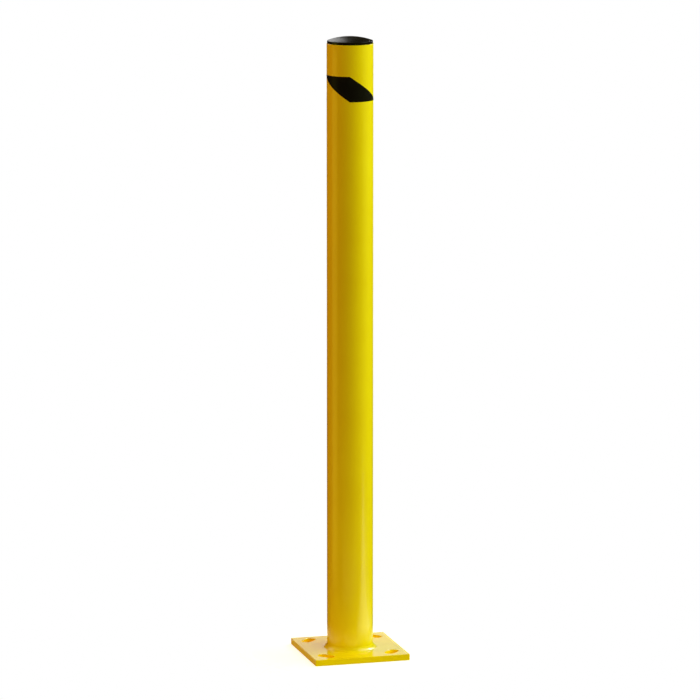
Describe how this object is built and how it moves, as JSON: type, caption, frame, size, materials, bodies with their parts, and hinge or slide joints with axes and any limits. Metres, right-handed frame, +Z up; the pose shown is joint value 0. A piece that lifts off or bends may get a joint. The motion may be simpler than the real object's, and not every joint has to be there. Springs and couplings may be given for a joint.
{
  "type": "steel bollard",
  "caption": "Round steel pipe bollard on a square slotted base plate, with a welded foot, a push-in moulded cap and slanted black warning stripes; bolts down to guard a wall, door or post.",
  "frame": {"origin": "centre of the base plate's underside, where it stands on the floor", "axes": "+Z up along the pipe; the plate's edges run along X and Y, and -Y is the front edge"},
  "size_m": [0.2414, 0.2414, 1.5405],
  "materials": {
    "plate_paint": "gloss powder coat",
    "pipe_paint": "gloss powder coat",
    "weld_paint": "gloss powder coat over a weld bead",
    "cap_plastic": "satin moulded",
    "stripe_film": "smooth adhesive film"
  },
  "bodies": {
    "post": {"base_plate": "plate_paint", "post_tube": "pipe_paint", "weld_bead": "weld_paint", "warning_stripe_1": "stripe_film", "warning_stripe_2": "stripe_film"},
    "cap": {"end_cap": "cap_plastic"}
  },
  "joints": [
    {"name": "cap_lift", "type": "slide", "parent": "post", "child": "cap", "axis": [0, 0, 1], "range_m": [0, 0.08]}
  ]
}
